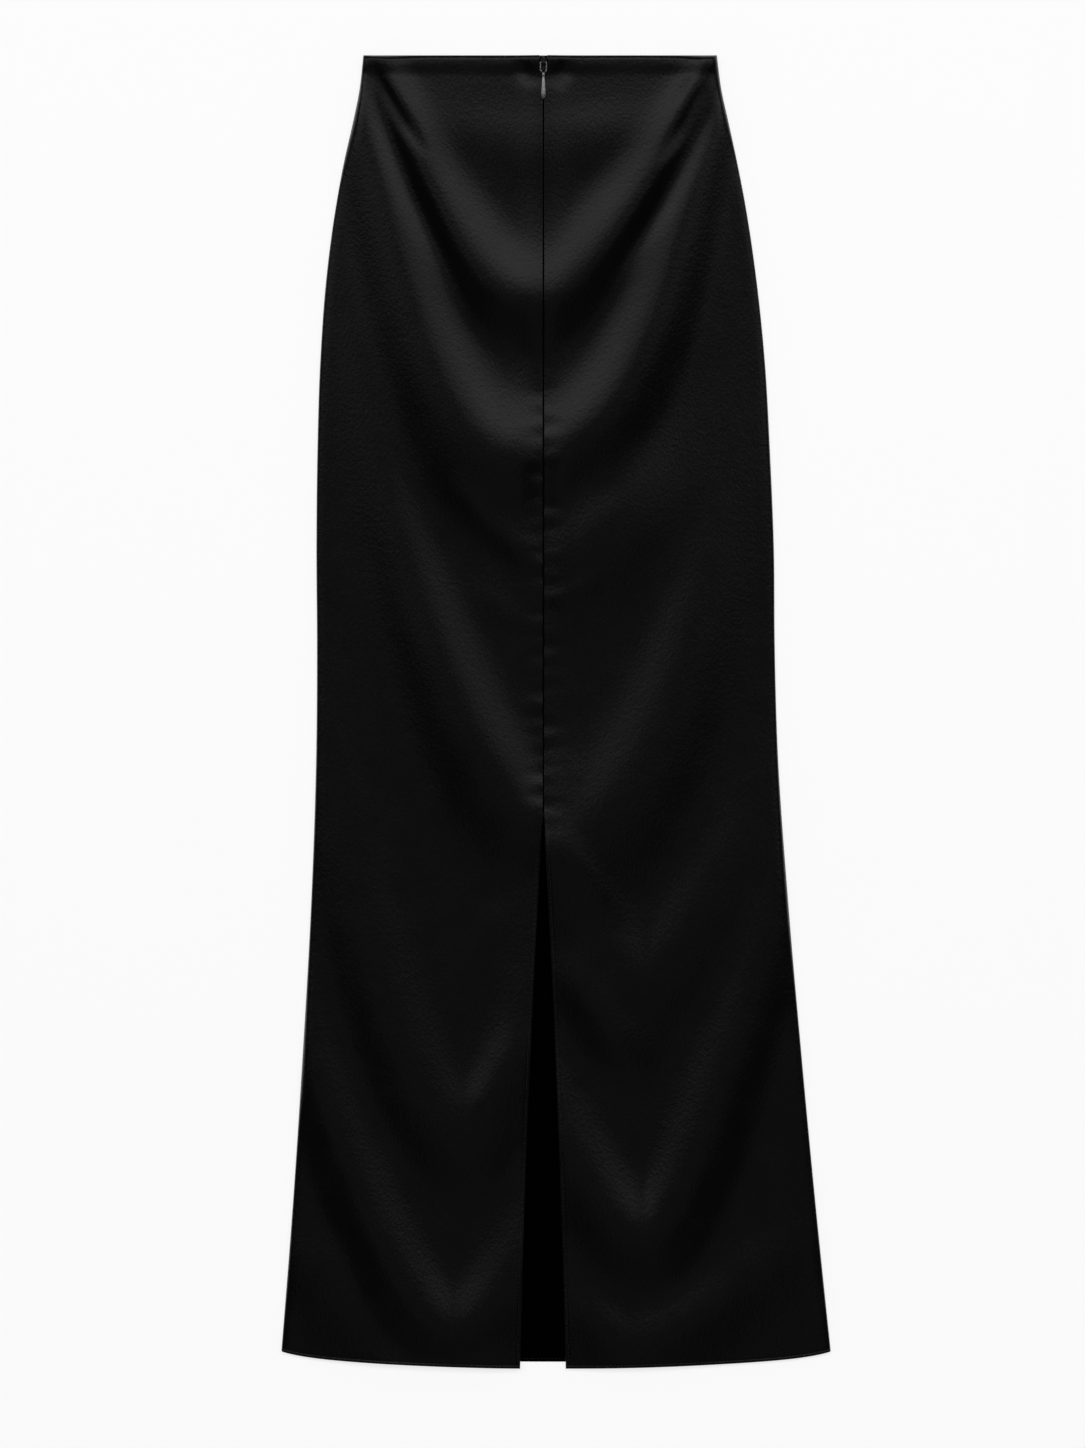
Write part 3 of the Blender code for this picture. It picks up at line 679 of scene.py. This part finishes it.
def spaced(total, start_insets, end_insets, steps):
    """Places from 0 to total: fixed ones near both ends and even steps between them."""
    total = np.asarray(total, dtype=float)[..., None]
    first = np.broadcast_to(start_insets, total.shape[:-1] + (len(start_insets),))
    last = total - np.array(end_insets[::-1])
    even_steps = steps - len(start_insets) - len(end_insets) + 2
    shares = np.linspace(0, 1, even_steps + 1)[1:-1]
    middle = first[..., -1:] + (last[..., :1] - first[..., -1:]) * shares
    return np.concatenate([first, middle, last], axis=-1)


def back_grid(side):
    """Places of a back half's grid: distances across and down."""
    shares = spaced(LENGTH, WAIST_INSETS, HEM_INSETS, ROWS) / LENGTH
    down = np.repeat(shares[:, None] * LENGTH, COLUMNS + 1, axis=1)
    column = np.arange(COLUMNS + 1)
    for _ in range(HEM_PASSES):
        inner = inner_edge(side, down)
        width = side_edge(side, down) - inner
        places = spaced(width, SEAM_INSETS, SIDE_INSETS, COLUMNS)
        across = inner + places[:, column, column]
        down = shares[:, None] * back_hem(side * across)
    return across, down


def flat_area(across, down):
    """Area of the cut, from the corners of its grid laid flat."""
    first = np.stack([across[1:, 1:] - across[:-1, :-1], down[1:, 1:] - down[:-1, :-1]])
    second = np.stack([across[1:, :-1] - across[:-1, 1:], down[1:, :-1] - down[:-1, 1:]])
    return float(np.abs(first[0] * second[1] - first[1] * second[0]).sum() / 2)


print("each back half has", ROWS * COLUMNS, "faces")

# %% Sheet of cloth
CLOTH_THICKNESS = 0.0006


def sheet_mesh(name, points):
    """Mesh of a grid of points, given as rows of columns, with its faces turned up."""
    rows, columns = points.shape[0] - 1, points.shape[1] - 1
    bm = bmesh.new()
    bmesh.ops.create_grid(bm, x_segments=columns, y_segments=rows, size=0.5)
    for vertex in bm.verts:
        column = round((vertex.co.x + 0.5) * columns)
        row = round((0.5 - vertex.co.y) * rows)
        vertex.co = points[row, column]
    bm.faces.ensure_lookup_table()
    bm.normal_update()
    if bm.faces[len(bm.faces) // 2].normal.z < 0:
        bmesh.ops.reverse_faces(bm, faces=bm.faces)
    return finished_mesh(bm, name)


def finished_mesh(bm, name):
    """Turn a bmesh into a smooth mesh."""
    mesh = bpy.data.meshes.new(name)
    bm.to_mesh(mesh)
    bm.free()
    mesh.shade_smooth()
    return mesh


def add_piece(name, mesh, *materials):
    """Put a mesh into the scene, with its finishes."""
    for material in materials:
        mesh.materials.append(material)
    piece = bpy.data.objects.new(name, mesh)
    bpy.context.scene.collection.objects.link(piece)
    return piece


def add_sheet(name, points, outer, inner):
    """Cloth with an outer and an inner finish, whose given points are its outer face."""
    sheet = add_piece(name, sheet_mesh(name, points), outer, inner)
    wall = sheet.modifiers.new("wall", "SOLIDIFY")
    wall.thickness = CLOTH_THICKNESS
    wall.offset = -1.0
    wall.material_offset = 1
    wall.material_offset_rim = 0
    return sheet


print("the cloth is", CLOTH_THICKNESS * 1000, "mm thick")

# %% Back halves
def make_back_half(name, node, side):
    across, down = back_grid(side)
    points = to_world(side * across, down, back_height(side, across, down))
    sheet = add_sheet(name, points, satin_material, wrong_side_material)
    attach(sheet, "garment")
    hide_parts(node)
    print(name, "stands", round(float(points[..., 2].max()) * 1000, 1), "mm high")
    return sheet, flat_area(across, down)


back_left, back_left_area = make_back_half("back_cloth_left", "back_panel_left", LEFT)
back_right, back_right_area = make_back_half("back_cloth_right", "back_panel_right", RIGHT)

# %% [markdown]
# ## The front
# The front lies face down under the back. Only its dull wrong side shows, through the
# slit, with a narrow hem of its own. It turns up a little at the side seams to meet the
# back, so the two walls touch along their edges as sewn cloth does.

# %% Front panel
FRONT_COLUMNS = 40
FRONT_ROWS = 300
FRONT_INSETS = (0.0, 0.0003, 0.0010, 0.0022, 0.0040, 0.0060, 0.0080)
FRONT_LIFT = 0.0009         # how far the front turns up at a side seam
FRONT_ROLL = 0.008
FRONT_WALL = 0.0010
FRONT_HEM_STEP = 0.0003     # how much the hem's turning raises the cloth
FRONT_HEM_END = (0.0094, 0.0106)    # distance from the hem at which the turning ends


def front_top(right_of_seam, down, to_side):
    """Height of the upper face of the front, with the step of its turned hem."""
    to_hem = front_hem(right_of_seam) - down
    turned_up = FRONT_LIFT * (1 - rolled(to_side, FRONT_ROLL))
    turning = FRONT_HEM_STEP * fades_out(FRONT_HEM_END, to_hem)
    drop = EDGE_ROUND / 2 * (1 - rolled(to_hem, EDGE_ROUND))
    return turned_up + FRONT_WALL - FRONT_HEM_STEP + turning - stitch_groove(to_hem) - drop


def make_front():
    shares = spaced(LENGTH, WAIST_INSETS, HEM_INSETS, FRONT_ROWS) / LENGTH
    down = np.repeat(shares[:, None] * LENGTH, FRONT_COLUMNS + 1, axis=1)
    column = np.arange(FRONT_COLUMNS + 1)
    for _ in range(HEM_PASSES):
        left = side_edge(LEFT, down)
        places = spaced(left + side_edge(RIGHT, down), FRONT_INSETS, FRONT_INSETS, FRONT_COLUMNS)
        right_of_seam = places[:, column, column] - left
        down = shares[:, None] * front_hem(right_of_seam)
    to_right = side_edge(RIGHT, down) - right_of_seam
    to_left = side_edge(LEFT, down) + right_of_seam
    height = front_top(right_of_seam, down, np.minimum(to_right, to_left))
    points = to_world(right_of_seam, down, height)
    sheet = add_sheet("front_cloth", points, wrong_side_material, satin_material)
    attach(sheet, "garment")
    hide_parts("front_panel")
    return sheet, flat_area(right_of_seam, down)


front, front_area = make_front()
print("front cut is", round(front_area, 3), "square metres")

# %% [markdown]
# ## Topstitching
# A narrow hem is held by a line of short stitches close to the edge. One stitch is a thin
# grain of thread that sinks in at both ends. A stretched ball shows that well and costs few
# faces, so hundreds of them can lie along the hem and the slit.

# %% Thread
THREAD_RADIUS = 0.00021
THREAD_TWIST = 2600.0


def make_thread():
    thread = Finish("black_thread")
    twist = thread.noise(THREAD_TWIST, 1.0, (1.0, 1.0, 2.0))
    thread.set(
        Base_Color=grey(0.042, 0.002),
        Roughness=0.40 + 0.1 * twist,
        Normal=thread.relief(twist, 0.00006, 0.5),
    )
    return thread.material


thread_material = make_thread()
print("thread is", round(2 * THREAD_RADIUS * 1000, 2), "mm thick")

# %% Stitches
STITCH_PITCH = 0.0031
STITCH_LENGTH = 0.0023
STITCH_SIDES = 6
STITCH_RINGS = 4


def add_grain(bm, middle, turn, length, sides, rings):
    """One stitch: a ball, stretched along X and turned into its place."""
    scale = Matrix.Diagonal((length / 2, THREAD_RADIUS, THREAD_RADIUS, 1.0))
    poles_on_x = Matrix.Rotation(math.pi / 2, 4, "Y")
    bmesh.ops.create_uvsphere(
        bm,
        u_segments=sides,
        v_segments=rings,
        radius=1.0,
        matrix=Matrix.Translation(middle) @ turn @ scale @ poles_on_x,
    )


def steps_along(path):
    """Even steps along a path: the middle of each, with a point before and after it."""
    steps = np.linalg.norm(np.diff(path, axis=0), axis=1)
    lengths = np.concatenate([[0.0], np.cumsum(steps)])
    count = int(lengths[-1] / STITCH_PITCH)
    middles = (np.arange(count) + 0.5) * lengths[-1] / count
    shifts = (-STITCH_PITCH / 4, 0.0, STITCH_PITCH / 4)
    return [
        np.stack([np.interp(middles + shift, lengths, path[:, axis]) for axis in range(3)], axis=-1)
        for shift in shifts
    ]


def add_stitches(name, path):
    """A line of stitches along a path on the cloth."""
    before, middles, after = steps_along(path)
    bm = bmesh.new()
    for start, middle, end in zip(before, middles, after):
        turn = Vector(end - start).to_track_quat("X", "Z").to_matrix().to_4x4()
        add_grain(bm, middle, turn, STITCH_LENGTH, STITCH_SIDES, STITCH_RINGS)
    stitches = add_piece(name, finished_mesh(bm, name), thread_material)
    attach(stitches, "garment")
    print(name, "has", len(middles), "stitches")
    return stitches


# %% [markdown]
# ### Where the stitches run
# A line of stitches follows an edge at a fixed distance, on the cloth's own surface. The
# same functions that shaped the cloth give the line, so it can't float or sink.

# %% Lines of stitches
STITCH_RISE = THREAD_RADIUS * 0.4     # the middle of a stitch over the cloth
HEM_LINE_END = 0.004                  # distance from the side seam at which the hem's line ends
SLIT_LINE_START = 0.004               # distance of the slit's line from the top of the slit
SLIT_LINE_END = 0.006                 # and from the hem
FRONT_LINE_END = 0.006
HEM_LINE_POINTS = 400
SLIT_LINE_POINTS = 600
FRONT_LINE_POINTS = 700


def hem_path(side):
    """Line of the hem's topstitching on one back half."""
    inner = float(inner_edge(side, LENGTH)) + STITCH_INSET
    outer = float(side_edge(side, LENGTH)) - HEM_LINE_END
    across = np.linspace(inner, outer, HEM_LINE_POINTS)
    down = back_hem(side * across) - STITCH_INSET
    return to_world(side * across, down, back_height(side, across, down) + STITCH_RISE)


def slit_path(side):
    """Line of the slit's topstitching on one back half."""
    down = np.linspace(SLIT_TOP + SLIT_LINE_START, LENGTH - SLIT_LINE_END, SLIT_LINE_POINTS)
    across = inner_edge(side, down) + STITCH_INSET
    return to_world(side * across, down, back_height(side, across, down) + STITCH_RISE)


def front_hem_path():
    """Line of the topstitching on the front hem's turning."""
    ends = (FRONT_LINE_END - HEM_LEFT, HEM_RIGHT - FRONT_LINE_END)
    right_of_seam = np.linspace(*ends, FRONT_LINE_POINTS)
    down = front_hem(right_of_seam) - STITCH_INSET
    height = front_top(right_of_seam, down, np.full(FRONT_LINE_POINTS, FRONT_ROLL))
    return to_world(right_of_seam, down, height + STITCH_RISE)


hem_stitches_left = add_stitches("hem_stitches_left", hem_path(LEFT))
hem_stitches_right = add_stitches("hem_stitches_right", hem_path(RIGHT))
slit_stitches_left = add_stitches("slit_stitches_left", slit_path(LEFT))
slit_stitches_right = add_stitches("slit_stitches_right", slit_path(RIGHT))
front_hem_stitches = add_stitches("front_hem_stitches", front_hem_path())

# %% [markdown]
# ## The bar tack
# The top of the slit is the place that tears first, so it is locked with a short bar of
# close stitches across the seam. Each leans a little the other way than the one before.

# %% Bar tack
TACK_HALF_WIDTH = 0.0030
TACK_STITCHES = 8
TACK_LENGTH = 0.0019
TACK_LEAN = 8                         # degrees off the seam's direction
TACK_DOWN = SLIT_TOP - 0.0008
TACK_REST = 0.0015                    # across, where the height of the cloth is taken
TACK_SIDES = 8
TACK_RINGS = 6


def make_bar_tack():
    height = float(back_height(RIGHT, TACK_REST, TACK_DOWN)) + THREAD_RADIUS
    bm = bmesh.new()
    for index in range(TACK_STITCHES):
        across = TACK_HALF_WIDTH * ((2 * index + 1) / TACK_STITCHES - 1)
        turn = Matrix.Rotation(math.radians(90 + TACK_LEAN * (-1) ** index), 4, "Z")
        middle = to_world(across, TACK_DOWN, height)
        add_grain(bm, middle, turn, TACK_LENGTH, TACK_SIDES, TACK_RINGS)
    tack = add_piece("bar_tack", finished_mesh(bm, "bar_tack"), thread_material)
    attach(tack, "garment")
    return tack


bar_tack = make_bar_tack()
print("bar tack has", TACK_STITCHES, "stitches")

# %% [markdown]
# Each panel's flat area, the size it was cut to, is printed. These panels aren't rectangles, so each area
# is taken from its grid laid flat.

# %% Sheets
print("cut areas:", round(back_left_area, 3), round(back_right_area, 3), round(front_area, 3))

# %% [markdown]
# ## The zip's metal
# The slider is enamelled black and the pull is plated dark and polished. The solids
# already have the right shape, so their own meshes take the finishes.

# %% Metal
NICKEL_DARK = grey(0.44, 0.01)
NICKEL_LIGHT = grey(0.58, 0.01)
SCUFF_STRETCH = (1.0, 0.2, 1.0)       # long along the pull, as its polish is
ENAMEL = grey(0.012, 0.001)


def make_nickel():
    nickel = Finish("dark_nickel")
    scuff = nickel.noise(900.0, 4.0, SCUFF_STRETCH)
    nickel.set(
        Base_Color=nickel.blend(scuff, NICKEL_DARK, NICKEL_LIGHT),
        Metallic=1.0,
        Roughness=0.20 + 0.14 * scuff,
        Normal=nickel.relief(scuff, 0.00002, 0.4),
    )
    return nickel.material


def make_enamel():
    enamel = Finish("black_enamel")
    orange_peel = enamel.noise(700.0, 2.0)
    enamel.set(
        Base_Color=ENAMEL,
        Metallic=0.0,
        Roughness=0.26 + 0.12 * orange_peel,
        Normal=enamel.relief(orange_peel, 0.00003, 0.4),
        Coat_Weight=0.4,
    )
    return enamel.material


def give_finish(node, material):
    """Put a finish on a solid that keeps its own mesh."""
    piece = bpy.data.objects[node]
    for slot in piece.material_slots:
        slot.material = material
    print(node, "is finished as", material.name)


give_finish("zip_pull", make_nickel())
give_finish("zip_slider", make_enamel())

# %% [markdown]
# ### The zip's tape
# The tape is a matt woven ribbon. Almost all of it is hidden, so a plain weave will do.

# %% Tape
TAPE_COLOUR = grey(0.006, 0.0005)
TAPE_WEAVE = 1600.0
TAPE_STRETCH = (1.0, 2.0, 1.0)


def make_tape():
    tape = Finish("woven_tape")
    weave = tape.noise(TAPE_WEAVE, 2.0, TAPE_STRETCH)
    tape.set(
        Base_Color=TAPE_COLOUR,
        Roughness=0.75 + 0.1 * weave,
        Normal=tape.relief(weave, 0.0001, 0.6),
    )
    return tape.material


tape_material = make_tape()
give_finish("zip_tape_left", tape_material)
give_finish("zip_tape_right", tape_material)

# %% [markdown]
# ## The floor
# The skirt lies on a plain white floor, which glows a little so that it stays evenly white
# under dim lights.

# %% Floor
FLOOR_SIZE = 4.0            # from its middle to its sides
FLOOR_HEIGHT = -0.0002      # just under the skirt
FLOOR_GLOW = 0.78           # evens out the light, as a lit paper backdrop does


def make_floor():
    bm = bmesh.new()
    bmesh.ops.create_grid(bm, x_segments=1, y_segments=1, size=FLOOR_SIZE)
    bmesh.ops.translate(bm, vec=(0, 0, FLOOR_HEIGHT), verts=bm.verts)
    paper = Finish("white_floor")
    paper.set(
        Base_Color=grey(0.90),
        Roughness=0.9,
        Specular_IOR_Level=0.1,
        Emission_Color=grey(1.0),
        Emission_Strength=FLOOR_GLOW,
    )
    floor = add_piece("floor", finished_mesh(bm, "floor"), paper.material)


make_floor()
print("floor is", 2 * FLOOR_SIZE, "m wide")

# %% [markdown]
# ## The light
# Black satin shows only what it mirrors, so the light is a dark ceiling with soft boxes.
# Wide ones hang beyond the waist and light the cloth that tilts towards it, and dimmer ones
# hang beside the waist and beyond the hem. Cloth that tilts away from them all stays dark,
# and that draws the folds.

# %% Soft boxes
CEILING = 8.0


class SoftBox(NamedTuple):
    """One of the boxes that hang level under the ceiling and shine straight down."""

    name: str
    right: float      # of its middle, from the middle of the skirt
    along: float      # of its middle, towards the waist
    width: float
    depth: float
    radiance: float


SOFT_BOXES = (
    SoftBox("soft_box_far", 0.0, 4.60, 20.0, 1.6, 1.30),
    SoftBox("soft_box_middle", 0.0, 3.30, 20.0, 1.0, 0.85),
    SoftBox("soft_box_near", 0.0, 2.30, 20.0, 1.0, 0.38),
    SoftBox("soft_box_top", 0.0, 0.80, 2.4, 2.0, 0.036),
    SoftBox("soft_box_hem", 0.0, -1.50, 2.6, 2.6, 0.11),
    SoftBox("soft_box_low", 0.0, -5.00, 10.0, 4.4, 0.06),
    SoftBox("soft_box_left", -3.6, 1.45, 4.8, 1.5, 0.42),
    SoftBox("soft_box_right", 3.6, 1.45, 4.8, 1.5, 0.42),
    SoftBox("strip_left", -1.8, 0.70, 1.6, 1.6, 0.12),
    SoftBox("strip_right", 1.8, 0.70, 1.6, 1.6, 0.12),
)


def add_soft_box(box):
    light = bpy.data.lights.new(box.name, "AREA")
    light.shape = "RECTANGLE"
    light.size = box.width
    light.size_y = box.depth
    light.energy = box.radiance * math.pi * box.width * box.depth
    lamp = bpy.data.objects.new(box.name, light)
    lamp.location = (box.right, box.along, CEILING)
    bpy.context.scene.collection.objects.link(lamp)


for box in SOFT_BOXES:
    add_soft_box(box)
print(len(SOFT_BOXES), "soft boxes hang", CEILING, "m above the floor")

# %% [markdown]
# ## The room
# Seen from low down, satin mirrors the walls. A colour ramp on the direction of view makes
# them pale near the floor and lets them fade into the dark ceiling.

# %% Room
ROOM_LIGHT = grey(0.300)       # the walls near the floor
ROOM_DARK = grey(0.020)        # the ceiling between the boxes
WALLS_START = 0.02             # upward part of a direction where the walls begin to darken
WALLS_END = 0.55               # and where the ceiling begins


def make_room():
    """Room whose pale walls fade into a dark ceiling."""
    world = bpy.data.worlds.new("room")
    room = Graph(world)
    direction = room.node("ShaderNodeTexCoord", {}, {}, "Generated")
    upward = room.node("ShaderNodeSeparateXYZ", {}, {"Vector": direction}, "Z")
    stops = ((WALLS_START, ROOM_LIGHT), (WALLS_END, ROOM_DARK))
    colour = room.node("ShaderNodeValToRGB", {"stops": stops}, {"Fac": upward}, "Color")
    room.link(colour, room.tree.nodes["Background"].inputs["Color"])
    return world


bpy.context.scene.world = make_room()
bpy.context.scene.view_settings.view_transform = "Standard"
print("walls fade into the ceiling", round(math.degrees(math.asin(WALLS_END))), "degrees up")

# %% [markdown]
# ## The camera
# The view is from straight above. A long lens far away keeps the skirt's sides upright, as
# a catalogue picture does.

# %% Camera
FRAME_HEIGHT = 1.2308     # metres of floor that the picture's height takes in
LENS = 200.0
SENSOR = 36.0
VIEW_CENTRE = (-0.01129, -0.0102)     # the point of the floor under the camera

camera = bpy.data.cameras.new("camera")
camera.lens = LENS
camera.sensor_fit = "VERTICAL"
camera.sensor_height = SENSOR
camera_object = bpy.data.objects.new("camera", camera)
camera_object.location = (*VIEW_CENTRE, FRAME_HEIGHT * LENS / SENSOR)
bpy.context.scene.collection.objects.link(camera_object)
bpy.context.scene.camera = camera_object
print("camera is", round(camera_object.location.z, 2), "m above the floor")
